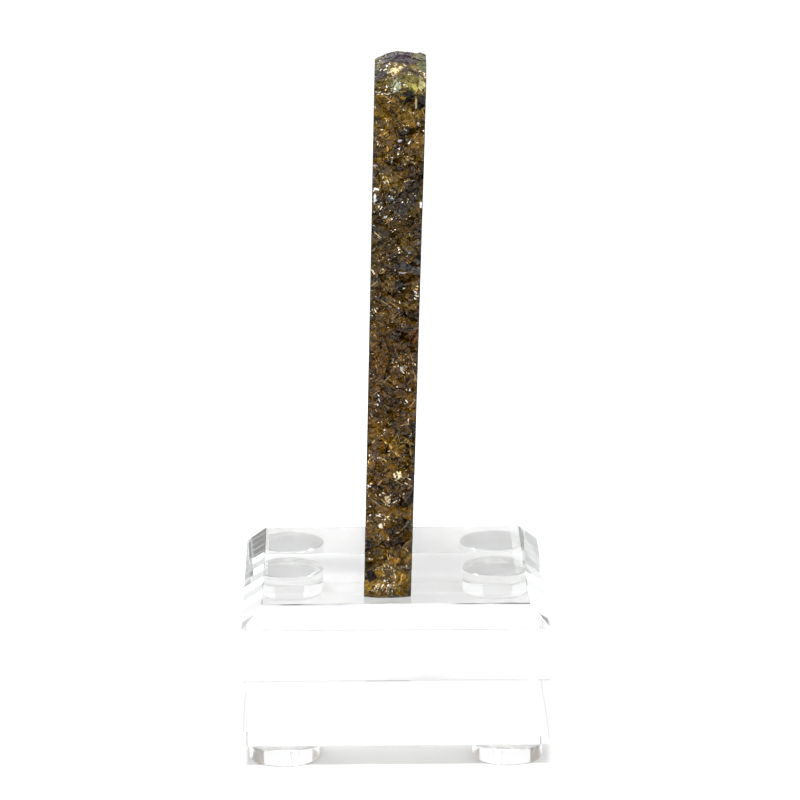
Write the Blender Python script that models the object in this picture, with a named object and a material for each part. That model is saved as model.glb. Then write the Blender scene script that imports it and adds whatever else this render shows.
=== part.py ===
"""Fluorite slice on a clear acrylic stand.

A square clear block with bevelled top edges stands on four disc feet. A sawn slab of
golden-brown fluorite stands upright on the block: two flat polished faces, a broken rim
and a thin natural rind on top.

Frame: metres, +Z up. The origin is on the ground under the middle of the block. The
slab's narrow front edge looks along -Y and its polished faces look along -X and +X.
"""

import math

import bmesh
import bpy
import numpy as np
from mathutils import Matrix

MM = 0.001

# Gap kept between touching pieces.
JOINT_GAP = 0.3 * MM

# Stand: stock acrylic sizes.
BLOCK_SIDE = 65.0 * MM
BLOCK_THICKNESS = 30.0 * MM
BLOCK_BEVEL = 4.4 * MM
FOOT_DIAMETER = 15.0 * MM
FOOT_HEIGHT = 5.0 * MM
FRONT_FOOT_INSET = 1.3 * MM
REAR_FOOT_INSET = 2.1 * MM
FOOT_SEGMENTS = 40

# Slab: thickness at its foot and how much it gains on the way up, as it was sawn.
SLICE_HEIGHT = 112.9 * MM
SLICE_FOOT_THICKNESS = 10.0 * MM
SLICE_FRONT_Y = -24.3 * MM
LEFT_FACE_FOOT_X = -6.85 * MM
LEFT_FACE_SLOPE = math.tan(math.radians(1.36))
RIGHT_FACE_SLOPE = math.tan(math.radians(1.76))
# The slab was set on the block by hand, turned a touch about the vertical.
SLICE_TURN_SLOPE = math.tan(math.radians(0.75))

# Broad outline of the slab, up the front, over the top and down the back:
# (depth from the block's middle, height above the slab's foot) in millimetres.
OUTLINE_POINTS = (
    (-24.3, 0.0),
    (-24.5, 30.0),
    (-24.0, 62.0),
    (-24.2, 93.0),
    (-23.0, 106.9),
    (-18.0, 111.5),
    (-9.0, 112.9),
    (3.0, 111.0),
    (13.5, 104.9),
    (21.0, 92.5),
    (25.1, 72.0),
    (25.7, 48.0),
    (24.4, 22.0),
    (23.2, 0.0),
)
POINTS_PER_SPAN = 40

# Rim mesh: distance between stations along the outline, and strips across the thickness.
RIM_STATION_STEP = 1.25 * MM
RIM_STRIPS = 8
RIM_JITTER = 0.3
RIM_SEED = 11

# Rim relief. The rim bulges a little in the middle of the thickness, and broke along
# small flat cleavage facets of two sizes.
RIM_CROWN = 0.8 * MM
FACET_SEED = 23
FACET_SIZES = (5.2 * MM, 2.3 * MM)
FACET_STEPS = (0.42 * MM, 0.2 * MM)
FACET_TILTS = (0.2, 0.26)

# Named places on the rim: height above the foot, place across the thickness from -1 to 1,
# radius, and depth (a hollow) or height (a lump).
RIM_FEATURES = (
    ("shell fracture", 8.0, 0.1, 4.2, 0.7),
    ("pit beside the shell", 6.5, -0.72, 2.0, -1.1),
    ("hollow under the top right corner", 101.5, 0.72, 2.6, -1.2),
    ("ledge under the rind", 106.0, 0.1, 3.0, 0.5),
    ("step at the left", 86.0, -0.9, 3.2, -0.7),
    ("step at the right", 84.0, 0.95, 3.0, -0.6),
    ("crystal lump", 73.5, 0.25, 3.0, 0.6),
    ("dark corner", 22.0, 0.95, 2.6, -0.8),
)

# The crest is highest left of the middle and drops towards both faces.
CREST_PEAK = -0.15
CREST_DROP_LEFT = 1.4 * MM
CREST_DROP_RIGHT = 0.6 * MM
CREST_START_HEIGHT = 104.5 * MM
# The natural rind over the crest is smoother than the broken rim.
CREST_FACET_SHARE = 0.3


def remove_old_objects():
    """Empty the scene of whatever objects it holds."""
    for old in list(bpy.data.objects):
        bpy.data.objects.remove(old, do_unlink=True)


def clear_acrylic():
    """Water-clear cast acrylic, polished all over."""
    material = bpy.data.materials.new("clear_acrylic")
    material.use_nodes = True
    shader = material.node_tree.nodes["Principled BSDF"]
    shader.inputs["Base Color"].default_value = (0.98, 0.99, 0.99, 1.0)
    shader.inputs["Metallic"].default_value = 0.0
    shader.inputs["Roughness"].default_value = 0.03
    shader.inputs["IOR"].default_value = 1.49
    shader.inputs["Transmission Weight"].default_value = 1.0
    return material


def golden_fluorite():
    """Golden-brown fluorite, glassy and partly see-through."""
    material = bpy.data.materials.new("golden_fluorite")
    material.use_nodes = True
    shader = material.node_tree.nodes["Principled BSDF"]
    shader.inputs["Base Color"].default_value = (0.13, 0.075, 0.025, 1.0)
    shader.inputs["Metallic"].default_value = 0.0
    shader.inputs["Roughness"].default_value = 0.2
    shader.inputs["IOR"].default_value = 1.434
    shader.inputs["Transmission Weight"].default_value = 0.3
    return material


def object_from_bmesh(name, shape, material):
    """Put a finished bmesh into the scene as a named object."""
    mesh = bpy.data.meshes.new(name)
    shape.to_mesh(mesh)
    shape.free()
    mesh.materials.append(material)
    piece = bpy.data.objects.new(name, mesh)
    bpy.context.scene.collection.objects.link(piece)
    return piece


def smooth_round_piece(piece):
    """Shade a round piece smooth and keep its rims sharp."""
    piece.data.shade_smooth()
    piece.data.set_sharp_from_angle(angle=math.radians(40.0))


def make_block(material):
    """Square block on its feet, with the bevel cut round its four top edges only."""
    shape = bmesh.new()
    bmesh.ops.create_cube(shape, size=1.0)
    size = Matrix.Diagonal((BLOCK_SIDE, BLOCK_SIDE, BLOCK_THICKNESS, 1.0))
    bmesh.ops.transform(shape, matrix=size, verts=shape.verts)
    top = BLOCK_THICKNESS / 2
    top_edges = [edge for edge in shape.edges if all(abs(v.co.z - top) < 1e-6 for v in edge.verts)]
    bmesh.ops.bevel(shape, geom=top_edges, offset=BLOCK_BEVEL, segments=1, affect="EDGES")
    block = object_from_bmesh("acrylic_block", shape, material)
    block.location = (0.0, 0.0, FOOT_HEIGHT + BLOCK_THICKNESS / 2)
    return block


def make_feet(material):
    """Four discs under the block's corners, set in a little from its sides."""
    height = FOOT_HEIGHT - JOINT_GAP
    radius = FOOT_DIAMETER / 2
    for row, depth_sign, inset in (("front", -1, FRONT_FOOT_INSET), ("rear", 1, REAR_FOOT_INSET)):
        for side, side_sign in (("left", -1), ("right", 1)):
            shape = bmesh.new()
            bmesh.ops.create_cone(
                shape,
                cap_ends=True,
                segments=FOOT_SEGMENTS,
                radius1=radius,
                radius2=radius,
                depth=height,
            )
            foot = object_from_bmesh(f"foot_{row}_{side}", shape, material)
            reach = BLOCK_SIDE / 2 - inset - radius
            foot.location = (side_sign * reach, depth_sign * reach, height / 2)
            smooth_round_piece(foot)


def outline_curve():
    """Smooth curve through the outline points, resampled to even stations.

    Each span is a Catmull-Rom cubic through its four nearest points; the ends repeat
    themselves. The result is an array of (depth, height) in metres.
    """
    points = np.array(OUTLINE_POINTS) * MM
    padded = np.vstack([2 * points[0] - points[1], points, 2 * points[-1] - points[-2]])
    t = np.linspace(0.0, 1.0, POINTS_PER_SPAN, endpoint=False)[:, None]
    spans = []
    for i in range(1, len(padded) - 2):
        p0, p1, p2, p3 = padded[i - 1:i + 3]
        spans.append(0.5 * (2 * p1 + (p2 - p0) * t + (2 * p0 - 5 * p1 + 4 * p2 - p3) * t**2
                            + (3 * p1 - p0 - 3 * p2 + p3) * t**3))
    fine = np.vstack(spans + [points[-1:]])
    length = np.concatenate([[0.0], np.cumsum(np.linalg.norm(np.diff(fine, axis=0), axis=1))])
    count = int(round(length[-1] / RIM_STATION_STEP)) + 1
    at = np.linspace(0.0, length[-1], count)
    curve = np.column_stack([np.interp(at, length, fine[:, 0]), np.interp(at, length, fine[:, 1])])
    return curve, at


def outward_normals(curve):
    """Unit normals of the outline in its own plane, pointing away from the slab."""
    along = np.gradient(curve, axis=0)
    along /= np.linalg.norm(along, axis=1)[:, None]
    return np.column_stack([-along[:, 1], along[:, 0]])


def facet_relief(along, across, size, step, tilt, draw):
    """Height of flat cleavage facets: each place belongs to the nearest of many seeds.

    Every seed carries a small plane with its own level and tilt, so neighbouring facets
    meet in ledges and ridges.
    """
    half_width = SLICE_FOOT_THICKNESS / 2
    length = along.max()
    count = int(length * 2 * half_width / size**2)
    seeds = np.column_stack([draw.uniform(0.0, length, count), draw.uniform(-half_width, half_width, count)])
    levels = draw.uniform(-step, step, count)
    slopes = draw.uniform(-tilt, tilt, (count, 2))
    places = np.column_stack([along.ravel(), across.ravel()])
    offsets = places[:, None, :] - seeds[None, :, :]
    nearest = np.argmin((offsets**2).sum(axis=2), axis=1)
    picked = offsets[np.arange(len(places)), nearest]
    height = levels[nearest] + (picked * slopes[nearest]).sum(axis=1)
    return height.reshape(along.shape)


def feature_relief(height, across, front):
    """Named hollows and lumps of the front rim, each a smooth round hill or hole."""
    relief = np.zeros_like(height)
    half_width = SLICE_FOOT_THICKNESS / 2
    for _, at_height, at_across, radius, depth in RIM_FEATURES:
        distance = np.hypot(height - at_height * MM, across - at_across * half_width)
        relief += depth * MM * np.exp(-(distance / (radius * MM))**2)
    return relief * front


def crest_share(height):
    """How far a place lies on the rind: 0 on the broken rim, 1 on the crest."""
    return np.clip((height - CREST_START_HEIGHT) / (SLICE_HEIGHT - CREST_START_HEIGHT), 0.0, 1.0)


def crest_relief(height, place):
    """Lower the top towards both polished faces, from its peak left of the middle."""
    left = np.clip((CREST_PEAK - place) / (CREST_PEAK + 1.0), 0.0, 1.0)
    right = np.clip((place - CREST_PEAK) / (1.0 - CREST_PEAK), 0.0, 1.0)
    return -crest_share(height) * (CREST_DROP_LEFT * left**1.5 + CREST_DROP_RIGHT * right**1.5)


def face_positions(depth, height):
    """Where the two polished faces lie at a depth and a height above the slab's foot."""
    turn = SLICE_TURN_SLOPE * (depth - SLICE_FRONT_Y)
    left = LEFT_FACE_FOOT_X + LEFT_FACE_SLOPE * height + turn
    right = LEFT_FACE_FOOT_X + SLICE_FOOT_THICKNESS + RIGHT_FACE_SLOPE * height + turn
    return left, right


def rim_vertices():
    """Grid of rim places: stations along the outline by strips across the thickness."""
    curve, at = outline_curve()
    normals = outward_normals(curve)
    rows = len(curve)
    columns = RIM_STRIPS + 1
    draw = np.random.default_rng(RIM_SEED)
    place = np.tile(np.linspace(-1.0, 1.0, columns), (rows, 1))
    place[:, 1:-1] += draw.uniform(-RIM_JITTER, RIM_JITTER, (rows, columns - 2)) * 2 / RIM_STRIPS
    slide = draw.uniform(-RIM_JITTER, RIM_JITTER, (rows, columns)) * RIM_STATION_STEP
    slide[[0, -1]] = 0.0
    along = at[:, None] + slide
    depth = np.interp(along, at, curve[:, 0])
    height = np.interp(along, at, curve[:, 1])
    normal_depth = np.interp(along, at, normals[:, 0])
    normal_height = np.interp(along, at, normals[:, 1])

    across = place * SLICE_FOOT_THICKNESS / 2
    front = (depth < 0.0).astype(float)
    facets = np.random.default_rng(FACET_SEED)
    relief = RIM_CROWN * (0.4 - place**2)
    facet_share = 1.0 - (1.0 - CREST_FACET_SHARE) * crest_share(height)
    for size, step, tilt in zip(FACET_SIZES, FACET_STEPS, FACET_TILTS):
        relief += facet_share * facet_relief(along, across, size, step, tilt, facets)
    relief += feature_relief(height, across, front)
    relief += crest_relief(height, place)

    depth = depth + relief * normal_depth
    height = height + relief * normal_height
    height[[0, -1]] = 0.0
    left, right = face_positions(depth, height)
    sideways = left + (place + 1.0) / 2 * (right - left)
    foot = FOOT_HEIGHT + BLOCK_THICKNESS + JOINT_GAP
    return np.stack([sideways, depth, height + foot], axis=-1)


def make_slice(material):
    """Slab: the faceted rim strip, a flat sawn foot and two flat polished faces."""
    grid = rim_vertices()
    rows, columns = grid.shape[:2]
    draw = np.random.default_rng(RIM_SEED + 1)
    shape = bmesh.new()
    verts = [[shape.verts.new(grid[i, j]) for j in range(columns)] for i in range(rows)]
    for i in range(rows - 1):
        for j in range(columns - 1):
            a, b = verts[i][j], verts[i][j + 1]
            c, d = verts[i + 1][j + 1], verts[i + 1][j]
            if draw.random() < 0.5:
                shape.faces.new((a, b, c))
                shape.faces.new((a, c, d))
            else:
                shape.faces.new((a, b, d))
                shape.faces.new((b, c, d))
    for j in range(columns - 1):
        shape.faces.new((verts[0][j], verts[-1][j], verts[-1][j + 1], verts[0][j + 1]))
    for j in (0, columns - 1):
        shape.faces.new([verts[i][j] for i in range(rows)])
    bmesh.ops.recalc_face_normals(shape, faces=shape.faces)
    bmesh.ops.triangulate(shape, faces=[face for face in shape.faces if len(face.verts) > 3])
    return object_from_bmesh("fluorite_slice", shape, material)


def main():
    remove_old_objects()
    acrylic = clear_acrylic()
    make_block(acrylic)
    make_feet(acrylic)
    make_slice(golden_fluorite())


main()
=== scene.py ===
import math

import bpy
import numpy as np
from bpy.props import FloatProperty, FloatVectorProperty, IntProperty, PointerProperty
from mathutils import Matrix, Vector


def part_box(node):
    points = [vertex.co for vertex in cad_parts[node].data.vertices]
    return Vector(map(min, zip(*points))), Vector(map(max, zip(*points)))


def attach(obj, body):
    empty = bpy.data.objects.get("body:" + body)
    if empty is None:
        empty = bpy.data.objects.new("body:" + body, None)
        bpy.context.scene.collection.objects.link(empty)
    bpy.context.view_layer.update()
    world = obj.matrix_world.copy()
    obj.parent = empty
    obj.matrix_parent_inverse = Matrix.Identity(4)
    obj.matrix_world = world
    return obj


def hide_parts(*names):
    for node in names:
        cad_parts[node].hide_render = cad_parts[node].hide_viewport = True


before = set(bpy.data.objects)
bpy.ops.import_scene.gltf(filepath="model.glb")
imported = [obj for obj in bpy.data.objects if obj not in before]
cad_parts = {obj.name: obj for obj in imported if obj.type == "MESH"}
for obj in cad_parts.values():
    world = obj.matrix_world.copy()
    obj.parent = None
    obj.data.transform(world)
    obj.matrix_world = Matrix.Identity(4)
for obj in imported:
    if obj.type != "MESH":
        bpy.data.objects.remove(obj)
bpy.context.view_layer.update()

bl_info = {
    "name": "Fluorite Slice On Stand",
    "version": (1, 0, 0),
    "blender": (4, 5, 0),
    "location": "3D View > Sidebar > Fluorite",
    "description": "Builds the looks of a sawn fluorite slab on a clear acrylic stand",
    "category": "Add Mesh",
}

MM = 0.001
RANGE_SOCKETS = ("From Min", "From Max", "To Min", "To Max")
FOOT_NODES = ("foot_front_left", "foot_front_right", "foot_rear_left", "foot_rear_right")

# Outline of the slab, up the front, over the top and down the back, as
# (depth from the block's middle, height above the slab's foot) in millimetres.
OUTLINE_POINTS = (
    (-24.3, 0.0), (-24.5, 30.0), (-24.0, 62.0), (-24.2, 93.0), (-23.0, 106.9), (-18.0, 111.5), (-9.0, 112.9),
    (3.0, 111.0), (13.5, 104.9), (21.0, 92.5), (25.1, 72.0), (25.7, 48.0), (24.4, 22.0), (23.2, 0.0),
)
POINTS_PER_SPAN = 40
# Part of the outline's length, up the front and over the crest, that gets the fine mesh step.
FINE_LENGTH = 0.132
# Height over which the rim eases into its flat foot, how far the foot's edge curves back at its corners,
# and the film of air under the slab.
FOOT_EASE = 1.6 * MM
FOOT_CROWN = 1.0 * MM
SLAB_GAP = 0.05 * MM

# Planes of the two polished faces, moved to the photograph's edges by up to 0.17 mm, and the rim's broad
# relief as the solid slab has it. A feature has its height, its place across, its radius and its rise.
SLICE_HEIGHT = 112.9 * MM
FOOT_THICKNESS = 9.91 * MM
FRONT_Y = -24.3 * MM
LEFT_FACE_FOOT_X = -6.68 * MM
LEFT_FACE_SLOPE = math.tan(math.radians(1.36))
RIGHT_FACE_SLOPE = math.tan(math.radians(1.76))
TURN_SLOPE = math.tan(math.radians(0.75))
RIM_CROWN = 0.8 * MM
CROWN_LEVEL = 0.4
FACET_SEED = 23
FACET_SIZES = (5.2 * MM, 2.3 * MM)
FACET_STEPS = (0.42 * MM, 0.2 * MM)
FACET_TILTS = (0.2, 0.26)
RIM_FEATURES = (
    ("shell fracture", 8.0, 0.1, 4.2, 0.7),
    ("pit beside the shell", 6.5, -0.72, 2.0, -1.1),
    ("hollow under the top right corner", 101.5, 0.72, 2.6, -1.2),
    ("ledge under the rind", 106.0, 0.1, 3.0, 0.5),
    ("step at the left", 86.0, -0.9, 3.2, -0.7),
    ("step at the right", 84.0, 0.95, 3.0, -0.6),
    ("crystal lump", 73.5, 0.25, 3.0, 0.6),
    ("dark corner", 22.0, 0.95, 2.6, -0.8),
)
CREST_PEAK = -0.15
CREST_DROP_LEFT = 1.4 * MM
CREST_DROP_RIGHT = 0.6 * MM
CREST_START_HEIGHT = 104.5 * MM
CREST_FACET_SHARE = 0.3
CREST_CURVE = 1.5
PLACES_AT_A_TIME = 4000

# Splinters and cleavage steps too small for the solid: size, step, tilt and tone share of each family.
# Then the spread of their slopes, lengths and directions, the painted shading that drifts across a splinter,
# and the painted highlight on the ridges between them.
SPLINTER_SEED = 71
SPLINTERS = (
    (2.3 * MM, 0.14 * MM, 0.38, 0.55),
    (1.0 * MM, 0.07 * MM, 0.45, 0.45),
)
SPLINTER_SPARE = 1.2
SPLINTER_SLOPES = (0.35, 1.0)
SPLINTER_LENGTHS = (1.0, 2.6)
CLEAVAGE_TURNS = (0.35, 2.45, 4.5, 5.6)
CLEAVAGE_SPREAD = 0.18
SHADING_DRIFT = 0.45
RIDGE_SHARE = 0.3
RIDGE_WIDTH = 0.2 * MM
RIDGE_HIGHLIGHT_TONE = 0.9

# How ragged, large and soft the edge of a mark is, and the size and shape of those drawn as chips.
MARK_RAGGEDNESS = 0.8
MARK_TONE = 0.5
MARK_GROWTH = 0.4
MARK_SOFTNESS = 0.8
CHIP_LIMIT = 1.3
CHIP_TURN = 7.0
CHIP_CORNERS = (0.0, 2.1, 4.0)
CHIP_ROUNDNESS = 0.35
CHIP_SHARPNESS = 0.95
BARELY_LAID = 1e-6
# Marks on the front rim, among them painted glints and painted shade in hollows, pits and notches: what it
# is, place across (-1 left, 1 right) and height above the slab's foot in millimetres, half width and half
# height in millimetres, colour, and how far it covers what is under it.
RIM_MARKS = (
    ("rind", 0.0, 113.7, 12.0, 1.15, (0.026, 0.02, 0.017), 0.95),
    ("olive crest", -0.15, 113.6, 3.0, 0.4, (0.075, 0.068, 0.035), 0.85),
    ("purple streak", 0.05, 112.8, 4.4, 0.5, (0.022, 0.009, 0.016), 0.95),
    ("olive top right corner", 0.85, 112.2, 1.1, 0.8, (0.08, 0.09, 0.035), 0.85),
    ("olive top left corner", -0.85, 112.2, 1.3, 0.6, (0.07, 0.07, 0.035), 0.85),
    ("dark flecked band at the left", -0.72, 110.7, 1.7, 1.5, (0.022, 0.016, 0.02), 0.9),
    ("dark flecked band", 0.35, 111.3, 3.4, 0.7, (0.05, 0.036, 0.018), 0.85),
    ("cream spot", -0.26, 111.2, 1.2, 1.1, (0.85, 0.7, 0.38), 0.62),
    ("olive top right", 0.45, 109.9, 3.6, 0.9, (0.12, 0.1, 0.018), 0.85),
    ("olive top left", -0.55, 109.4, 2.6, 1.2, (0.14, 0.1, 0.015), 0.75),
    ("pale green window", -0.14, 108.7, 0.95, 1.2, (0.55, 0.58, 0.4), 0.75),
    ("yellow green window", 0.5, 108.7, 2.2, 1.0, (0.36, 0.33, 0.08), 0.8),
    ("yellow green window at the edge", 0.86, 108.9, 1.0, 1.3, (0.56, 0.51, 0.22), 0.8),
    ("pale line", -0.6, 107.7, 1.7, 0.16, (0.85, 0.82, 0.7), 0.95),
    # Painted shade in hollows: the left hollow and the two dark hollows.
    ("left hollow", -0.72, 108.6, 1.1, 0.8, (0.08, 0.045, 0.01), 0.85),
    ("dark hollow", 0.3, 107.3, 1.5, 0.9, (0.012, 0.008, 0.004), 0.95),
    ("dark hollow at the right", 0.82, 106.3, 0.85, 1.7, (0.008, 0.005, 0.003), 0.95),
    ("golden splinter at the right", 0.62, 106.0, 0.14, 1.4, (0.7, 0.55, 0.26), 0.8),
    ("pale corner at the left", -0.9, 98.6, 0.2, 0.5, (0.45, 0.45, 0.42), 0.7),
    ("orange drop", -0.43, 96.5, 0.22, 0.45, (0.8, 0.38, 0.07), 0.9),
    ("pink chip at the left", -0.9, 92.9, 0.65, 0.5, (0.6, 0.52, 0.54), 0.9),
    ("purple spot at the left", -0.94, 90.7, 0.3, 0.7, (0.3, 0.24, 0.27), 0.8),
    # Painted highlights: white glints at the left and right edges, in the next three marks.
    ("white chip at the left", -0.86, 87.8, 0.7, 0.5, (0.95, 0.92, 0.93), 1.0),
    ("long white chip", -0.87, 85.7, 0.36, 1.25, (0.66, 0.67, 0.67), 0.95),
    ("white chip at the right", 0.92, 84.6, 0.35, 1.0, (0.9, 0.85, 0.92), 1.0),
    ("glint", 0.02, 98.1, 0.62, 0.34, (0.85, 0.86, 0.9), 0.9),
    ("small glint", 0.0, 100.9, 0.22, 0.2, (1.0, 0.95, 0.9), 1.0),
    ("smoky patch", 0.2, 85.5, 3.4, 4.2, (0.06, 0.055, 0.05), 0.5),
    ("blue glint", -0.22, 86.2, 0.4, 0.3, (0.55, 0.6, 0.68), 0.9),
    ("white glint", -0.45, 81.9, 0.24, 0.5, (0.85, 0.87, 0.88), 0.95),
    ("grey crystal", 0.44, 74.7, 1.2, 0.95, (0.08, 0.08, 0.082), 0.9),
    # Painted highlight: the glint on the grey crystal.
    ("grey crystal's point", 0.5, 74.5, 0.42, 0.26, (0.85, 0.88, 0.9), 0.95),
    ("dark crystal", 0.33, 71.9, 1.2, 1.2, (0.055, 0.055, 0.057), 0.95),
    ("dark crystal's foot", 0.3, 70.5, 1.15, 0.24, (0.58, 0.49, 0.53), 0.95),
    ("dark patch", 0.17, 67.7, 1.2, 0.9, (0.02, 0.016, 0.012), 0.8),
    ("fleck beside the dark patch", 0.35, 66.9, 0.2, 0.2, (0.9, 0.85, 0.8), 1.0),
    # Painted shade in a notch.
    ("black notch", 0.92, 74.0, 0.7, 1.9, (0.012, 0.01, 0.008), 0.95),
    ("rusty patch", 0.8, 56.8, 1.2, 1.6, (0.26, 0.08, 0.015), 0.5),
    ("golden facet", 0.26, 34.2, 2.6, 1.7, (0.25, 0.155, 0.02), 0.5),
    ("glint low right", 0.34, 49.9, 0.22, 0.5, (0.9, 0.88, 0.85), 0.9),
    ("cream flecks", 0.32, 26.9, 1.1, 1.35, (0.9, 0.8, 0.52), 0.54),
    ("cream splash", -0.12, 21.7, 1.1, 1.25, (0.88, 0.76, 0.46), 0.54),
    ("cream chip", -0.36, 15.9, 0.55, 0.6, (0.88, 0.8, 0.62), 0.8),
    # Painted shade in the notches of the dark corner, in the next two marks.
    ("black notch low", 0.93, 26.6, 0.45, 1.3, (0.01, 0.008, 0.006), 0.95),
    ("black notch lower", 0.93, 21.6, 0.4, 0.9, (0.01, 0.008, 0.006), 0.95),
    ("white fleck low at the left", -0.9, 24.5, 0.35, 0.26, (0.9, 0.87, 0.78), 1.0),
    ("upper white fleck", -0.42, 22.8, 0.28, 0.24, (0.9, 0.86, 0.76), 0.9),
    ("lower white fleck", -0.6, 21.1, 0.28, 0.26, (0.9, 0.86, 0.78), 0.9),
    ("pale fleck", 0.35, 14.6, 0.4, 0.22, (0.62, 0.56, 0.44), 0.9),
    ("smoky room at the left", -0.72, 11.9, 1.1, 1.2, (0.03, 0.022, 0.016), 0.6),
    ("dark room", 0.38, 11.9, 1.9, 1.35, (0.036, 0.02, 0.011), 0.65),
    ("golden room", 0.28, 8.6, 1.6, 0.7, (0.3, 0.15, 0.015), 0.8),
    ("inside of the shell", 0.1, 5.4, 1.4, 1.5, (0.16, 0.09, 0.03), 0.6),
    # Painted shade in the pit beside the shell.
    ("dark pit", -0.7, 4.8, 1.45, 1.25, (0.012, 0.006, 0.004), 0.95),
    # Painted shade in the hollow over the long ridge.
    ("hollow over the long ridge", 0.88, 37.3, 0.8, 0.95, (0.03, 0.022, 0.006), 0.95),
    ("purple tint at the left", -0.75, 31.5, 1.2, 1.6, (0.12, 0.085, 0.075), 0.5),
)
# Golden ridge lines on the front rim, painted highlights along ridges: what it is, place and height of one
# end, place and height of the other end, half width in millimetres, and how far it covers.
RIDGE_HIGHLIGHT_COLOUR = (0.5, 0.33, 0.1)
LINE_EDGE = 1.15
LINE_TONE = 0.45
LINE_COVER = 0.8
RIM_LINES = (
    ("long ridge", -0.40, 35.1, 0.72, 29.3, 0.16, 0.9),
    ("ridge beside it", 0.21, 32.6, 0.52, 30.2, 0.15, 0.8),
    ("upright ridge", 0.83, 35.0, 0.78, 30.2, 0.14, 0.7),
    ("ridge under the hollow", 0.72, 36.1, 1.0, 35.9, 0.13, 0.7),
    ("upper left ridge", -0.77, 99.2, -0.37, 100.4, 0.17, 0.9),
    ("upper right ridge", 0.29, 94.6, 0.74, 93.0, 0.15, 0.8),
    ("left ridge", -0.88, 91.7, -0.21, 89.9, 0.15, 0.8),
    ("ridge under the hollows", 0.0, 105.2, 0.71, 103.1, 0.16, 0.7),
    ("ridge under the pale line", -0.65, 103.3, -0.37, 102.3, 0.14, 0.7),
    ("short upright ridge", -0.43, 95.4, -0.40, 94.0, 0.2, 1.0),
    ("short left ridge", -0.66, 89.4, -0.70, 88.2, 0.17, 0.9),
    ("middle left ridge", -0.53, 71.5, -0.77, 69.3, 0.15, 0.8),
    ("middle upright ridge", -0.12, 67.1, -0.12, 65.3, 0.13, 0.8),
    ("low left ridge", -0.55, 24.8, -0.35, 26.2, 0.17, 0.7),
    ("pale line low at the left", -0.95, 16.6, -0.66, 17.5, 0.17, 1.0),
    ("upright ridge over the shell", -0.06, 11.0, -0.04, 8.8, 0.16, 0.8),
    ("shell's upper left edge", -0.5, 6.8, -0.22, 7.5, 0.24, 1.0),
    ("shell's upper edge", -0.22, 7.5, -0.02, 8.0, 0.24, 1.0),
    ("shell's upper right edge", 0.26, 7.6, 0.66, 6.2, 0.2, 0.9),
    ("shell's right edge", 0.66, 6.2, 0.52, 3.6, 0.2, 0.7),
    ("shell's lower edge", 0.52, 3.6, 0.28, 3.0, 0.2, 0.8),
    ("shell's lower left edge", 0.28, 3.0, -0.07, 2.8, 0.2, 0.8),
    ("foot sparkle row", -0.07, 2.8, -0.37, 2.1, 0.18, 0.7),
    ("foot sparkle row's end", -0.37, 2.1, -0.86, 1.8, 0.18, 0.7),
    ("ridge over the pit", -0.9, 6.0, -0.62, 6.7, 0.22, 0.8),
)
# Areas thick with small flecks, among them painted glints: where, place across, height, half width and half
# height, and how thick.
SPARKLE_SOFTNESS = 0.7
RIM_SPARKLES = (
    ("under the rind", 0.0, 111.6, 12.0, 1.3, 1.0),
    ("left side above the middle", -0.8, 96.0, 1.2, 3.0, 0.35),
    ("upper third", -0.2, 88.0, 4.5, 9.0, 0.28),
    ("left side at the middle", -0.85, 62.5, 1.0, 6.0, 0.5),
    ("right side at the middle", 0.85, 67.0, 0.9, 2.6, 0.6),
    ("low middle", 0.5, 49.0, 1.8, 2.4, 0.5),
    ("low third", -0.2, 22.0, 3.6, 7.0, 0.3),
    ("round the shell", 0.1, 6.5, 3.6, 4.5, 0.45),
    ("foot", 0.0, 2.6, 6.0, 1.9, 0.9),
)

# Natural skin of the growth: level up to the crest, then falling away behind it.
SKIN_HEIGHT = 147.9 * MM
SKIN_CREST_Y = -9.0 * MM
SKIN_RUN = 34.0 * MM
SKIN_FALL = 15.0 * MM
SKIN_STEEP_FALL = 18.0 * MM

# Depth under the skin: how far small ripples move the crust, and sway and ripples move the bands below it.
RIPPLE = 420.0
SWAY = 70.0
CRUST_RIPPLE = 2.2 * MM
BODY_RIPPLE = 4.0 * MM
BODY_SWAY = 12.0 * MM
BODY_DEPTH = 115.0 * MM
CRUST_DEPTH = 6.0 * MM
CRUST_END = (4.5 * MM, 5.4 * MM)

# Colours by depth under the skin, as a share of the body's depth, and how a facet's tone darkens them as
# painted shading of the facets.
ZONE_COLOURS = (
    (0.0, (0.28, 0.22, 0.03)), (0.05, (0.36, 0.21, 0.02)), (0.13, (0.31, 0.17, 0.012)),
    (0.19, (0.26, 0.155, 0.022)), (0.29, (0.19, 0.115, 0.018)), (0.41, (0.2, 0.11, 0.01)),
    (0.55, (0.21, 0.098, 0.006)), (0.67, (0.27, 0.135, 0.007)), (0.80, (0.31, 0.165, 0.01)),
    (0.92, (0.44, 0.25, 0.018)), (0.97, (0.62, 0.37, 0.03)),
)
TONE_COLOURS = (
    (0.08, (0.06, 0.052, 0.045)), (0.3, (0.19, 0.175, 0.13)), (0.5, (0.4, 0.385, 0.3)),
    (0.72, (0.68, 0.66, 0.57)), (0.95, (1.0, 1.0, 0.95)),
)
TONE_CELLS = 1900.0
TONE_SHARES = (0.8, 0.2)
MOTTLE = 170.0
MOTTLE_RANGE = (0.3, 0.7, -0.22, 0.2)

# Fibres of the broken rim: rooms of one direction with shaken walls, a fibre's size, its shades, the colour
# of a lit one, and which fibres and rooms are lit.
GRAIN_ROOMS = 420.0
ROOM_SHAKE = (500.0, 1.2 * MM)
GRAIN_SIZE = (1.5 * MM, 0.8 * MM, 0.3 * MM)
GRAIN_COLOURS = (
    (0.3, (0.15, 0.13, 0.1)), (0.42, (0.4, 0.37, 0.29)), (0.54, (0.85, 0.84, 0.76)), (0.64, (1.0, 1.0, 1.0)),
)
GRAIN_LIGHT = (0.42, 0.26, 0.06)
LIT_GRAIN = (0.6, 0.68)
LIT_ROOMS = (0.3, 0.7)
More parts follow.
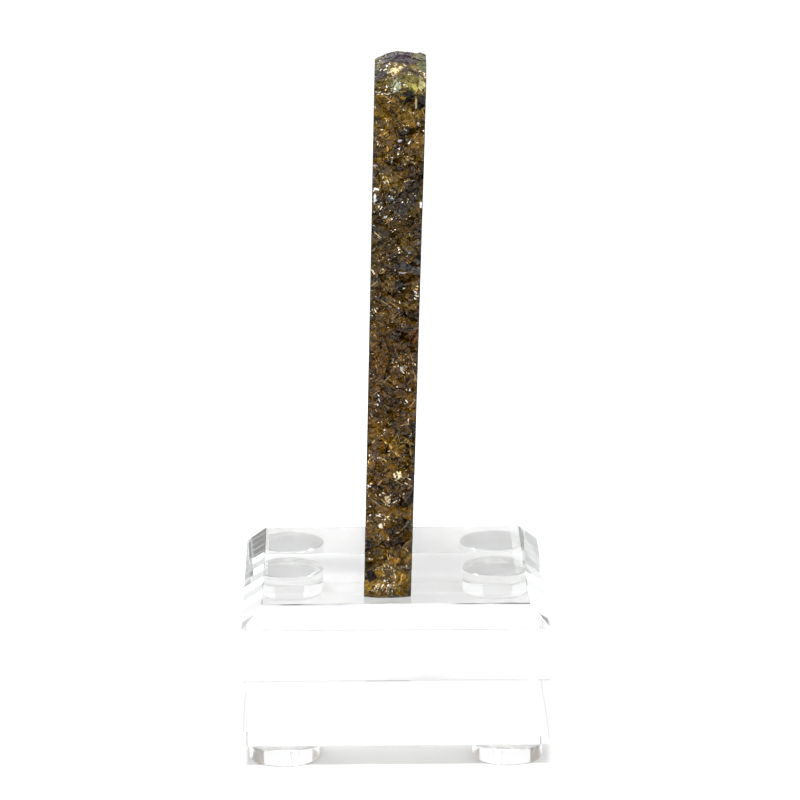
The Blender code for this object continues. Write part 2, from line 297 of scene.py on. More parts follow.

# Slivers along the cleavage: size, turn and rarity of each family, and colours. Then the same of the flecks,
# which lie in clusters and where the mesh's sparkle is high; the palest flecks are painted glints.
SLIVER_SIZE = (1.9 * MM, 1.3 * MM, 0.17 * MM)
SLIVERS = ((0.62, 0.98), (-0.75, 0.98), (1.25, 0.985), (-0.2, 0.988))
SLIVER_FADE = 0.015
SLIVER_COVER = 0.85
SLIVER_COLOURS = (
    (0.2, (0.02, 0.015, 0.01)), (0.45, (0.36, 0.2, 0.05)), (0.75, (0.5, 0.3, 0.09)),
    (0.97, (0.8, 0.66, 0.36)),
)
FLECK_SIZE = (0.6 * MM, 0.4 * MM, 0.2 * MM)
FLECK_TURN = 0.5
FLECK_SHAKE = (2000.0, 0.45 * MM)
FLECK_CLUSTERS = 240.0
CLUSTER_RANGE = (0.35, 0.7, -0.1, 0.06)
SPARKLE_GAIN = 0.35
FLECK_RARITY = (0.99, 1.0)
FLECK_COLOURS = (
    (0.1, (0.008, 0.006, 0.005)), (0.3, (0.35, 0.22, 0.07)), (0.55, (0.7, 0.56, 0.3)),
    (0.85, (0.9, 0.87, 0.8)),
)

# Bitten edges and shading of the marks, and the painted dark reflection line where the rim meets a polished
# face.
BITE = 2300.0
BITE_CELLS = 0.35
BITE_RANGE = (0.35, 1.0, -0.3, 0.3)
MARK_EDGE = (0.42, 0.58)
MARK_SHADES = ((0.1, (0.45, 0.45, 0.45)), (0.9, (1.0, 1.0, 1.0)))
EDGE_LINE = (0.955, 0.985)
EDGE_LINE_GAPS = (0.36, 0.5)
RIM_EDGE_REFLECTION_COLOUR = (0.02, 0.015, 0.01)

# Polished faces: growth steps, growth lines and broad bands along the skin, smoky clouds and pale veils.
POLISH_PALENESS = 0.3
POLISH_TINT = (1.0, 0.84, 0.5)
STEP_START = 0.1
STEP_LENGTH = 7.5 * MM
STEP_RISE = 0.55
GROWTH_LINES = 1000.0
GROWTH_BANDS = 230.0
LINE_COLOURS = (
    (0.36, (0.22, 0.15, 0.1)), (0.43, (0.7, 0.6, 0.48)), (0.5, (0.95, 0.93, 0.9)), (0.55, (0.5, 0.4, 0.3)),
    (0.6, (1.0, 1.0, 1.0)),
)
BAND_COLOURS = (
    (0.36, (0.3, 0.2, 0.13)), (0.45, (0.75, 0.62, 0.45)), (0.52, (1.0, 0.97, 0.9)),
    (0.58, (0.62, 0.5, 0.36)), (0.66, (1.0, 1.0, 1.0)),
)
SKIN_COLOURS = (
    (0.0, (0.07, 0.05, 0.06)), (0.1, (0.09, 0.06, 0.07)), (0.13, (0.8, 0.72, 0.5)), (0.2, (0.3, 0.24, 0.14)),
    (0.3, (0.55, 0.5, 0.2)), (0.6, (0.62, 0.62, 0.28)), (0.78, (0.75, 0.78, 0.5)), (0.88, (0.5, 0.34, 0.1)),
)
CLOUDS = 95.0
CLOUD_RANGE = (0.5, 0.72, 0.0, 0.6)
CLOUD_COLOUR = (0.13, 0.08, 0.05)
VEIL_SIZE = (3.0 * MM, 6.5 * MM, 0.22 * MM)
VEILS = ((0.95, 0.98), (-0.6, 0.986))
VEIL_FADE = 0.01
VEIL_RANGE = (0.4, 0.6, 0.05, 0.35)
VEIL_COLOUR = (0.9, 0.76, 0.46)

# Finish of the slab: gloss and clearness of the polished faces and of the rim.
POLISHED_ROUGHNESS = 0.03
RIM_ROUGHNESS = 0.1
SPECULAR_LEVEL = 0.25
POLISHED_CLEARNESS = 0.75
VEIL_CLEARNESS = 0.5
RIM_CLEARNESS = 0.5
COVER_DULLNESS = 0.4
RIM_BUMP_CELLS = 1100.0
RIM_BUMP = 0.25 * MM
RIM_BUMP_STRENGTH = 0.7

# Finish of the acrylic: polishing haze, smears, and painted shade in patches along the front edge of the
# block's top, with its reach round the edge and the two ends of its fading beside the slab.
HAZE = 140.0
HAZE_RANGE = (0.35, 0.8, 0.0, 0.012)
SMEAR_STRETCH = (60.0, 60.0, 18.0)
SMEAR_COLOURS = ((0.3, (0.985, 0.99, 0.99)), (0.7, (1.0, 1.0, 1.0)))
EDGE_SHADE_REACH = 0.17 * MM
EDGE_SHADE_PATCHES = 55.0
EDGE_SHADE_RANGE = (0.36, 0.56)
EDGE_SHADE_FADE = (6.0 * MM, 14.0 * MM)
EDGE_SHADE_COLOUR = (0.04, 0.04, 0.045)
SHARP_ANGLE = math.radians(12.0)

# Stage: floor, where the white tent starts and ends its dimming towards the camera, and the soft boxes.
FLOOR_BEND_POINTS = 13
FLOOR_MOTTLE = 3.0
FLOOR_MOTTLE_GAIN = 1.02
FLOOR_ROUGHNESS = 0.9
FLOOR_SPECULAR = 0.1
TENT_EDGES = (0.3, 0.92)
KEY_PLACE = (-0.07, -0.46, 0.92)
KEY_AIM = (0.0, 0.0, 0.05)
KEY_SIZE = (0.3, 0.26)
SIDE_PLACE = (0.7, -0.55, 0.5)
SIDE_AIM = (0.0, 0.0, 0.09)
SIDE_SIZE = (0.25, 0.5)

# Camera, as the photograph was taken.
CAMERA_PLACE = (-10.73 * MM, -872.6 * MM, 307.38 * MM)
CAMERA_PITCH = math.radians(15.113)
CAMERA_YAW = math.radians(-0.795)
CAMERA_ROLL = math.radians(-0.139)
CAMERA_LENS = 190.03
CAMERA_SENSOR = 36.0
CAMERA_CLIP = 0.01


def length_setting(name, description, default):
    """Property for a length in metres."""
    return FloatProperty(name=name, description=description, default=default, unit="LENGTH")


class StandSettings(bpy.types.PropertyGroup):
    """Sizes and finish of the clear stand."""

    bevel: length_setting("Bevel", "Width of the bevel round the top", 4.4 * MM)
    edge_ease: length_setting("Edge ease", "Polished easing of each edge", 0.12 * MM)
    foot_segments: IntProperty(
        name="Foot segments", description="Sides of each round foot", default=160, min=24)
    foot_film: length_setting("Foot film", "Film of air over each foot", 0.02 * MM)
    ior: FloatProperty(name="Acrylic IOR", description="Index of refraction of cast acrylic", default=1.49)
    tint: FloatVectorProperty(
        name="Acrylic tint", description="Colour that light takes in a metre of acrylic", subtype="COLOR",
        size=3, default=(0.94, 0.955, 0.95), min=0.0, max=1.0)
    tint_density: FloatProperty(
        name="Tint density", description="How fast acrylic takes up light", default=9.0)


class SliceSettings(bpy.types.PropertyGroup):
    """Fineness, colours and clearness of the fluorite slab."""

    front_step: length_setting("Front step", "Mesh step up the front", 0.14 * MM)
    rear_step: length_setting("Rear step", "Mesh step down the back", 0.3 * MM)
    strips: IntProperty(name="Rim strips", description="Mesh strips across the thickness", default=62, min=8)
    ior: FloatProperty(name="Fluorite IOR", description="Index of refraction of fluorite", default=1.434)
    depth_colour: FloatVectorProperty(
        name="Depth colour", description="Colour that light takes on its way through", subtype="COLOR",
        size=3, default=(0.33, 0.26, 0.12), min=0.0, max=1.0)
    depth_density: FloatProperty(
        name="Depth density", description="How fast the crystal takes up light", default=40.0)


class StageSettings(bpy.types.PropertyGroup):
    """Floor and studio light."""

    floor_size: length_setting("Floor size", "Side of the floor", 6.0)
    floor_colour: FloatVectorProperty(
        name="Floor colour", description="Colour of the floor", subtype="COLOR",
        size=3, default=(0.87, 0.87, 0.865), min=0.0, max=1.0)
    floor_gap: length_setting("Floor gap", "Air under the feet", 0.15 * MM)
    tent: FloatProperty(name="Tent", description="Brightness of the white tent all round", default=1.04)
    tent_opening: FloatProperty(
        name="Tent opening", description="Brightness towards the camera", default=0.75)
    key_power: FloatProperty(
        name="Key light", description="Power of the soft box in front", default=12.0, unit="POWER")
    side_power: FloatProperty(
        name="Side lights", description="Power of each side box", default=0.9, unit="POWER")
    path_depth: IntProperty(
        name="Path depth", description="Turns that light may take inside clear pieces", default=28)


class NodeSheet:
    """Short calls for wiring up one material's nodes."""

    def __init__(self, name):
        self.material = bpy.data.materials.new(name)
        self.material.use_nodes = True
        self.tree = self.material.node_tree
        self.shader = self.tree.nodes["Principled BSDF"]
        self.output = self.tree.nodes["Material Output"]
        self.coords = self.tree.nodes.new("ShaderNodeTexCoord").outputs["Object"]

    def plug(self, value, socket):
        """Join an output to a socket, or set the socket to a plain value."""
        if isinstance(value, bpy.types.NodeSocket):
            self.tree.links.new(value, socket)
        else:
            socket.default_value = value

    def node(self, kind, values, **settings):
        """New node of a kind with its settings, and with a value or an output for each named socket."""
        node = self.tree.nodes.new("ShaderNode" + kind)
        for name, setting in settings.items():
            setattr(node, name, setting)
        for socket, value in values.items():
            self.plug(value, node.inputs[socket])
        return node

    def math(self, operation, first, second=0.0, clamp=False):
        return self.node("Math", {0: first, 1: second}, operation=operation, use_clamp=clamp).outputs[0]

    def times(self, first, second):
        return self.math("MULTIPLY", first, second)

    def plus(self, first, second):
        return self.math("ADD", first, second)

    def minus(self, first, second):
        return self.math("SUBTRACT", first, second)

    def split(self, vector):
        return self.node("SeparateXYZ", {0: vector}).outputs

    def join(self, x, y, z):
        return self.node("CombineXYZ", {0: x, 1: y, 2: z}).outputs[0]

    def noise(self, vector, scale, detail=3.0, roughness=0.55, output="Fac"):
        values = {"Vector": vector, "Scale": scale, "Detail": detail, "Roughness": roughness}
        return self.node("TexNoise", values).outputs[output]

    def cells(self, vector, scale):
        """Distance to the nearest cell's middle, and three random values of that cell."""
        node = self.node("TexVoronoi", {"Vector": vector, "Scale": scale})
        return node.outputs["Distance"], self.split(node.outputs["Color"])

    def fit(self, value, low, high, new_low=0.0, new_high=1.0):
        """A value's smooth way from low to high, carried over to the new range."""
        values = {"Value": value, "From Min": low, "From Max": high, "To Min": new_low, "To Max": new_high}
        return self.node("MapRange", values, interpolation_type="SMOOTHSTEP").outputs["Result"]

    def blend(self, share, first, second, mode="MIX"):
        """Two colours, each an output or a plain triple, mixed by a share."""
        first, second = [(*value, 1.0) if isinstance(value, tuple) else value for value in (first, second)]
        node = self.node("Mix", {}, data_type="RGBA", blend_type=mode)
        for value, socket in zip((share, first, second), ("Factor", 6, 7)):
            self.plug(value, node.inputs[socket])
        return node.outputs[2]

    def shade(self, first, second):
        """One colour multiplied by another."""
        return self.blend(1.0, first, second, "MULTIPLY")

    def mix(self, share, first, second):
        """Two numbers mixed by a share."""
        return self.node("Mix", {0: share, 2: first, 3: second}).outputs[0]

    def ramp(self, value, stops):
        """Colour read from stops of place and colour."""
        node = self.node("ValToRGB", {"Fac": value})
        elements = node.color_ramp.elements
        while len(elements) < len(stops):
            elements.new(0.5)
        for element, (place, colour) in zip(elements, stops):
            element.position = place
            element.color = (*colour, 1.0)
        return node.outputs["Color"]

    def attribute(self, name, output="Fac"):
        return self.node("Attribute", {}, attribute_name=name).outputs[output]

    def slant(self, vector, sizes, turn=(0.0, 0.0, 0.0)):
        """Coordinates turned and measured in the given sizes, for long thin cells."""
        values = {"Vector": vector, "Scale": sizes, "Rotation": turn}
        return self.node("Mapping", values, vector_type="TEXTURE").outputs[0]

    def chips(self, vector, sizes, turn):
        """Three random values of each long thin cell."""
        return self.cells(self.slant(vector, sizes, turn), 1.0)[1]

    def shake(self, vector, scale, reach):
        """Coordinates shaken by a fine noise, for ragged edges."""
        noise = self.noise(vector, scale, detail=2.0, roughness=0.5, output="Color")
        values = {0: noise, 1: (reach, reach, reach), 2: vector}
        return self.node("VectorMath", values, operation="MULTIPLY_ADD").outputs[0]

    def swirl(self, vector, angle):
        """Coordinates turned about the front-to-back axis by an angle that may vary."""
        values = {"Vector": vector, "Angle": angle}
        return self.node("VectorRotate", values, rotation_type="Y_AXIS").outputs[0]

    def bump(self, height, distance, strength):
        values = {"Height": height, "Distance": distance, "Strength": strength}
        return self.node("Bump", values).outputs["Normal"]

    def absorb(self, colour, density):
        """Light that the inside takes up, as plain values."""
        node = self.node("VolumeAbsorption", {"Color": (*colour, 1.0), "Density": density})
        self.plug(node.outputs["Volume"], self.output.inputs["Volume"])


def object_from_arrays(name, points, faces, material):
    """Closed mesh object at the origin from an array of points and a list of faces."""
    mesh = bpy.data.meshes.new(name)
    mesh.from_pydata(np.asarray(points, dtype=float), [], faces)
    mesh.update()
    mesh.shade_flat()
    mesh.materials.append(material)
    piece = bpy.data.objects.new(name, mesh)
    bpy.context.scene.collection.objects.link(piece)
    return piece


def grid_faces(rows, columns, closed):
    """Quads of a grid of points numbered row by row; closed joins the last column to the first."""
    row = np.arange(rows - 1)[:, None] * columns
    column = np.arange(columns if closed else columns - 1)[None, :]
    after = (column + 1) % columns
    quads = np.stack([row + column, row + after, row + columns + after, row + columns + column], axis=-1)
    return quads.reshape(-1, 4).tolist()


def revolve(name, profile, path, material):
    """Carry a profile of (inset, height) points round a path and close both ends with caps.

    The path is a function that gives the ring of (x, y) places for one inset.
    """
    rings = [np.column_stack([path(inset), np.full(len(path(inset)), height)]) for inset, height in profile]
    points = np.vstack(rings)
    columns = len(rings[0])
    faces = grid_faces(len(rings), columns, closed=True)
    faces.append(list(range(columns))[::-1])
    faces.append(list(range((len(rings) - 1) * columns, len(rings) * columns)))
    return object_from_arrays(name, points, faces, material)


def eased_square(half_side, ease):
    """Ring of a square with its corners cut off by a small ease, shrinking with the inset."""
    def ring(inset):
        near = half_side - inset
        far = near - ease
        corner = np.array([[far, -near], [near, -far]])
        quarter = np.array([[0.0, -1.0], [1.0, 0.0]])
        turned = [corner]
        for _ in range(3):
            turned.append(turned[-1] @ quarter.T)
        return np.vstack(turned)
    return ring


def circle(centre, radius, segments):
    """Ring of a circle that shrinks with the inset."""
    def ring(inset):
        angle = np.linspace(0.0, 2 * math.pi, segments, endpoint=False)
        return np.column_stack([centre[0] + (radius - inset) * np.cos(angle),
                                centre[1] + (radius - inset) * np.sin(angle)])
    return ring


def acrylic_material(settings):
    """Water-clear cast acrylic with faint polishing haze and a trace of colour in depth.

    The eased edge between the block's top and its front bevel carries painted shade, a dark line in patches,
    which fade out beside the slab.
    """
    sheet = NodeSheet("clear_cast_acrylic")
    shader = sheet.shader
    shader.inputs["IOR"].default_value = settings.ior
    shader.inputs["Transmission Weight"].default_value = 1.0
    haze = sheet.noise(sheet.coords, HAZE, detail=4.0)
    sheet.plug(sheet.fit(haze, *HAZE_RANGE), shader.inputs["Roughness"])
    stretched = sheet.node("Mapping", {"Vector": sheet.coords, "Scale": SMEAR_STRETCH}).outputs[0]
    smear = sheet.noise(stretched, 1.0, detail=2.0)
    clean = sheet.ramp(smear, SMEAR_COLOURS)
    x, y, z = sheet.split(sheet.coords)
    low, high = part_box("acrylic_block")
    # Painted shade: a dark line in patches along the eased edge between the top and the front bevel, fading
    # out beside the slab.
    aside = sheet.math("ABSOLUTE", sheet.minus(y, low.y + settings.bevel))
    under = sheet.math("ABSOLUTE", sheet.minus(z, high.z))
    edge_shade = sheet.math("LESS_THAN", sheet.math("MAXIMUM", aside, under), EDGE_SHADE_REACH)
    patches = sheet.fit(sheet.noise(sheet.join(x, 0.0, 0.0), EDGE_SHADE_PATCHES, detail=2.0), *EDGE_SHADE_RANGE)
    patches = sheet.times(patches, sheet.fit(sheet.math("ABSOLUTE", x), *EDGE_SHADE_FADE))
    sheet.plug(sheet.blend(sheet.times(edge_shade, patches), clean, EDGE_SHADE_COLOUR), shader.inputs["Base Color"])
    sheet.absorb(settings.tint, settings.tint_density)
    return sheet.material


def place_clear(piece, node):
    """Shade a clear piece with sharp edges and put it in the place of its solid."""
    piece.data.shade_smooth()
    piece.data.set_sharp_from_angle(angle=SHARP_ANGLE)
    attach(piece, "root")
    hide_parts(node)


def make_stand(settings):
    """The bevelled block and its four disc feet, with a film of air between block and foot."""
    low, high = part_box("acrylic_block")
    ease = settings.edge_ease
    bevel = settings.bevel
    half_side = (high.x - low.x) / 2
    slant = ease / math.sqrt(2)
    material = acrylic_material(settings)
    profile = (
        (ease, low.z),
        (0.0, low.z + ease),
        (0.0, high.z - bevel - slant),
        (slant, high.z - bevel + slant),
        (bevel - slant, high.z - slant),
        (bevel + slant, high.z),
    )
    place_clear(revolve("clear_block", profile, eased_square(half_side, ease), material), "acrylic_block")
    for node in FOOT_NODES:
        foot_low, foot_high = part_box(node)
        radius = (foot_high.x - foot_low.x) / 2
        centre = ((foot_low.x + foot_high.x) / 2, (foot_low.y + foot_high.y) / 2)
        top = low.z - settings.foot_film
        profile = ((ease, foot_low.z), (0.0, foot_low.z + ease), (0.0, top - ease), (ease, top))
        ring = circle(centre, radius, settings.foot_segments)
        place_clear(revolve(node + "_clear", profile, ring, material), node)


def outline_curve(front_step, rear_step):
    """Catmull-Rom curve through the outline points: (depth, height) and distance along it.

    It is read in small steps up the front and over the crest, and in larger ones behind.
    """
    points = np.array(OUTLINE_POINTS) * MM
    padded = np.vstack([2 * points[0] - points[1], points, 2 * points[-1] - points[-2]])
    t = np.linspace(0.0, 1.0, POINTS_PER_SPAN, endpoint=False)[:, None]
    spans = []
    for i in range(1, len(padded) - 2):
        p0, p1, p2, p3 = padded[i - 1:i + 3]
        spans.append(0.5 * (2 * p1 + (p2 - p0) * t + (2 * p0 - 5 * p1 + 4 * p2 - p3) * t**2
                            + (3 * p1 - p0 - 3 * p2 + p3) * t**3))
    fine = np.vstack(spans + [points[-1:]])
    length = np.concatenate([[0.0], np.cumsum(np.linalg.norm(np.diff(fine, axis=0), axis=1))])
    front = np.linspace(0.0, FINE_LENGTH, int(round(FINE_LENGTH / front_step)) + 1)
    rear = np.linspace(FINE_LENGTH, length[-1], int(round((length[-1] - FINE_LENGTH) / rear_step)) + 1)
    at = np.concatenate([front, rear[1:]])
    return np.column_stack([np.interp(at, length, fine[:, 0]), np.interp(at, length, fine[:, 1])]), at


def facet_relief(along, across, size, step, tilt, draw):
    """Height of the broad facets: each place takes the tilted plane of its nearest seed."""
    half_width = FOOT_THICKNESS / 2
    length = along.max()
    count = int(length * 2 * half_width / size**2)
    seeds = np.column_stack([draw.uniform(0.0, length, count), draw.uniform(-half_width, half_width, count)])
    levels = draw.uniform(-step, step, count)
    slopes = draw.uniform(-tilt, tilt, (count, 2))
    places = np.column_stack([along.ravel(), across.ravel()])
    heights = []
    for block in np.array_split(places, 1 + len(places) // PLACES_AT_A_TIME):
        offsets = block[:, None, :] - seeds[None, :, :]
        nearest = np.argmin((offsets**2).sum(axis=2), axis=1)
        picked = offsets[np.arange(len(block)), nearest]
        heights.append(levels[nearest] + (picked * slopes[nearest]).sum(axis=1))
    return np.concatenate(heights).reshape(along.shape)


def splinter_relief(along, across, size, step, tilt, draw):
    """Height and tone of fine splinters on a shaken grid of seeds.

    Each cell of the grid holds one seed with its own level and tone, one of the four
    cleavage directions for its slope, and a long axis. A place takes the seed that is
    nearest when distance is measured shorter along that axis. The tone drifts across a
    splinter as painted shading, and is brightest on the ridges of the lit ones as a painted highlight.
    """
    half_width = FOOT_THICKNESS / 2 * SPLINTER_SPARE
    rows = int(along.max() / size) + 3
    columns = int(2 * half_width / size) + 3
    shake = draw.uniform(0.0, 1.0, (rows, columns, 2))
    levels = draw.uniform(-step, step, (rows, columns))
    family = np.array(CLEAVAGE_TURNS)[draw.integers(0, len(CLEAVAGE_TURNS), (rows, columns))]
    family = family + draw.normal(0.0, CLEAVAGE_SPREAD, (rows, columns))
    slope = tilt * draw.uniform(*SPLINTER_SLOPES, (rows, columns))
    axis = draw.uniform(0.0, math.pi, (rows, columns))
    long = draw.uniform(*SPLINTER_LENGTHS, (rows, columns))
    tones = draw.uniform(0.0, 1.0, (rows, columns))
    lit = (draw.uniform(0.0, 1.0, (rows, columns)) < RIDGE_SHARE).astype(float)
    u = along / size + 1.0
    v = (across + half_width) / size + 1.0
    best = np.full(along.shape, np.inf)
    second = np.full(along.shape, np.inf)
    height = np.zeros(along.shape)
    tone = np.zeros(along.shape)
    ridged = np.zeros(along.shape)
    for du in (-1, 0, 1):
        for dv in (-1, 0, 1):
            i = np.clip(np.floor(u).astype(int) + du, 0, rows - 1)
            j = np.clip(np.floor(v).astype(int) + dv, 0, columns - 1)
            x = u - (i + shake[i, j, 0])
            y = v - (j + shake[i, j, 1])
            main = x * np.cos(axis[i, j]) + y * np.sin(axis[i, j])
            side = -x * np.sin(axis[i, j]) + y * np.cos(axis[i, j])
            distance = (main / long[i, j])**2 + side**2
            plane = levels[i, j] + slope[i, j] * size * (x * np.cos(family[i, j]) + y * np.sin(family[i, j]))
            nearer = distance < best
            second = np.where(nearer, best, np.minimum(second, distance))
            best = np.where(nearer, distance, best)
            height = np.where(nearer, plane, height)
            # Painted shading across the splinter.
            shading_drift = SHADING_DRIFT * (x * np.sin(family[i, j]) + y * np.cos(family[i, j]))
            tone = np.where(nearer, tones[i, j] + shading_drift, tone)
            ridged = np.where(nearer, lit[i, j], ridged)
    # Painted highlight on the ridges of the lit splinters.
    ridge = np.clip(1.0 - (np.sqrt(second) - np.sqrt(best)) / (RIDGE_WIDTH / size), 0.0, 1.0)
    return height, tone + RIDGE_HIGHLIGHT_TONE * ridged * ridge


def ellipse_share(height, across, place, ragged, softness):
    """1 inside an ellipse on the rim and 0 outside, from the distance to its middle in half widths.

    Its edge steps from facet to facet by the ragged values. A small one is drawn as a
    chip with three corners, by the furthest reach along three directions.
    """
    at_across, at_height, half_width, half_height = place
    side = (across - at_across * FOOT_THICKNESS / 2) / (half_width * MM)
    up = (height - at_height * MM) / (half_height * MM)
    distance = np.hypot(side, up)
    if max(half_width, half_height) < CHIP_LIMIT:
        turns = CHIP_TURN * at_height + np.array(CHIP_CORNERS)
        corners = np.max([side * math.cos(turn) + up * math.sin(turn) for turn in turns], axis=0)
        distance = CHIP_ROUNDNESS * distance + CHIP_SHARPNESS * corners
    return np.clip((1.0 - distance - ragged) / softness, 0.0, 1.0)


def line_share(height, across, ends, half_width, ragged):
    """1 on a straight line between two ends on the rim and 0 beside it, from the distance to the line."""
    start = np.array([ends[0] * FOOT_THICKNESS / 2, ends[1] * MM])
    run = np.array([ends[2] * FOOT_THICKNESS / 2, ends[3] * MM]) - start
    side = across - start[0]
    up = height - start[1]
    part = np.clip((side * run[0] + up * run[1]) / (run @ run), 0.0, 1.0)
    distance = np.hypot(side - part * run[0], up - part * run[1]) / (half_width * MM)
    return np.clip(LINE_EDGE - distance + ragged, 0.0, 1.0)


def rim_marks(height, across, front, tone):
    """Colour and cover of the marks on the front rim, painted glints, painted highlights along ridges and
    painted shade in hollows among them, and how thick the flecks lie.

    Each mark is laid over the ones before it by its share.
    """
    stain_and_painted_light = np.zeros(height.shape + (4,))
    laid = np.full(height.shape, BARELY_LAID)
    ragged = MARK_RAGGEDNESS * (tone - MARK_TONE)
    for _, *place, colour, cover in RIM_MARKS:
        share = front * ellipse_share(height, across, place, ragged - MARK_GROWTH, MARK_SOFTNESS)
        stain_and_painted_light[..., :3] += share[..., None] * (np.array(colour) - stain_and_painted_light[..., :3])
        laid += share * (1.0 - laid)
        stain_and_painted_light[..., 3] = np.maximum(stain_and_painted_light[..., 3] * (1.0 - share), cover * share)
    stain_and_painted_light[..., :3] /= laid[..., None]
    # Painted highlights along the ridges.
    for _, *ends, half_width, cover in RIM_LINES:
        share = front * line_share(height, across, ends, half_width, MARK_RAGGEDNESS * (tone - LINE_TONE))
        stain_and_painted_light[..., :3] += share[..., None] * (np.array(RIDGE_HIGHLIGHT_COLOUR) - stain_and_painted_light[..., :3])
        stain_and_painted_light[..., 3] = np.maximum(stain_and_painted_light[..., 3] * (1.0 - share), LINE_COVER * cover * share)
    sparkle = np.zeros_like(height)
    for _, *place, amount in RIM_SPARKLES:
        share = ellipse_share(height, across, place, ragged, SPARKLE_SOFTNESS)
        sparkle = np.maximum(sparkle, amount * front * share)
    return stain_and_painted_light, sparkle


def feature_relief(height, across, front):
    """Named hollows and lumps of the front rim, each a smooth round hill or hole."""
    relief = np.zeros_like(height)
    for _, at_height, at_across, radius, depth in RIM_FEATURES:
        distance = np.hypot(height - at_height * MM, across - at_across * FOOT_THICKNESS / 2)
        relief += depth * MM * np.exp(-(distance / (radius * MM))**2)
    return relief * front


def crest_share(height):
    """How far a place lies on the rind: 0 on the broken rim, 1 on the crest."""
    return np.clip((height - CREST_START_HEIGHT) / (SLICE_HEIGHT - CREST_START_HEIGHT), 0.0, 1.0)


def crest_relief(height, place):
    """Lower the top towards both polished faces, from its peak left of the middle."""
    left = np.clip((CREST_PEAK - place) / (CREST_PEAK + 1.0), 0.0, 1.0)
    right = np.clip((place - CREST_PEAK) / (1.0 - CREST_PEAK), 0.0, 1.0)
    drop = CREST_DROP_LEFT * left**CREST_CURVE + CREST_DROP_RIGHT * right**CREST_CURVE
    return -crest_share(height) * drop


def rim_points(settings, foot_level):
    """Grid of rim points, stations along the outline by places across the thickness, and their looks.

    A point is the outline moved along its own normal by the relief there, and sideways
    to its share of the way from one polished face's plane to the other's.
    """
    curve, at = outline_curve(settings.front_step, settings.rear_step)
    along_curve = np.gradient(curve, at, axis=0)
    along_curve /= np.linalg.norm(along_curve, axis=1)[:, None]
    normal = np.column_stack([-along_curve[:, 1], along_curve[:, 0]])
    place = np.tile(np.linspace(-1.0, 1.0, settings.strips + 1), (len(at), 1))
    along = np.tile(at[:, None], (1, settings.strips + 1))
    across = place * FOOT_THICKNESS / 2
    depth = np.tile(curve[:, :1], (1, settings.strips + 1))
    height = np.tile(curve[:, 1:], (1, settings.strips + 1))

    draw = np.random.default_rng(FACET_SEED)
    facet_share = 1.0 - (1.0 - CREST_FACET_SHARE) * crest_share(height)
    relief = RIM_CROWN * (CROWN_LEVEL - place**2)
    for size, step, tilt in zip(FACET_SIZES, FACET_STEPS, FACET_TILTS):
        relief += facet_share * facet_relief(along, across, size, step, tilt, draw)
    draw = np.random.default_rng(SPLINTER_SEED)
    tone = np.zeros_like(relief)
    for size, step, tilt, share in SPLINTERS:
        rise, tones = splinter_relief(along, across, size, step, tilt, draw)
        relief += facet_share * rise
        tone += share * tones
    front = (depth < 0.0).astype(float)
    relief += feature_relief(height, across, front)
    relief += crest_relief(height, place)
    at_foot = np.clip(1.0 - height / FOOT_EASE, 0.0, 1.0)**2
    relief += at_foot * (-FOOT_CROWN * place**2 - relief)
    stain_and_painted_light, sparkle = rim_marks(height, across, front, tone)
    looks = {"tone": tone, "edge": np.abs(place), "sparkle": sparkle, "stain_and_painted_light": stain_and_painted_light}

    depth = depth + relief * normal[:, :1]
    height = height + relief * normal[:, 1:]
    height[[0, -1]] = 0.0
    turn = TURN_SLOPE * (depth - FRONT_Y)
    left = LEFT_FACE_FOOT_X + LEFT_FACE_SLOPE * height + turn
    right = LEFT_FACE_FOOT_X + FOOT_THICKNESS + RIGHT_FACE_SLOPE * height + turn
    sideways = left + (place + 1.0) / 2 * (right - left)
    return np.stack([sideways, depth, height + foot_level], axis=-1), looks


def skin_depth(sheet, y, z):
    """Depth under the natural skin, rippled for the thin crust and swaying for the bands of the body.

    The skin lies level at the front. Behind the crest it falls by the second and the
    sixth power of the distance.
    """
    behind = sheet.math("MAXIMUM", sheet.math("DIVIDE", sheet.minus(y, SKIN_CREST_Y), SKIN_RUN), 0.0)
    fall = sheet.plus(sheet.times(sheet.math("POWER", behind, 2.0), SKIN_FALL),
                      sheet.times(sheet.math("POWER", behind, 6.0), SKIN_STEEP_FALL))
    depth = sheet.minus(sheet.minus(SKIN_HEIGHT, fall), z)
    ripple = sheet.minus(sheet.noise(sheet.coords, RIPPLE), 0.5)
    sway = sheet.minus(sheet.noise(sheet.coords, SWAY), 0.5)
    crust = sheet.plus(depth, sheet.times(ripple, CRUST_RIPPLE))
    body = sheet.plus(depth, sheet.times(sway, BODY_SWAY))
    return crust, sheet.plus(body, sheet.times(ripple, BODY_RIPPLE))


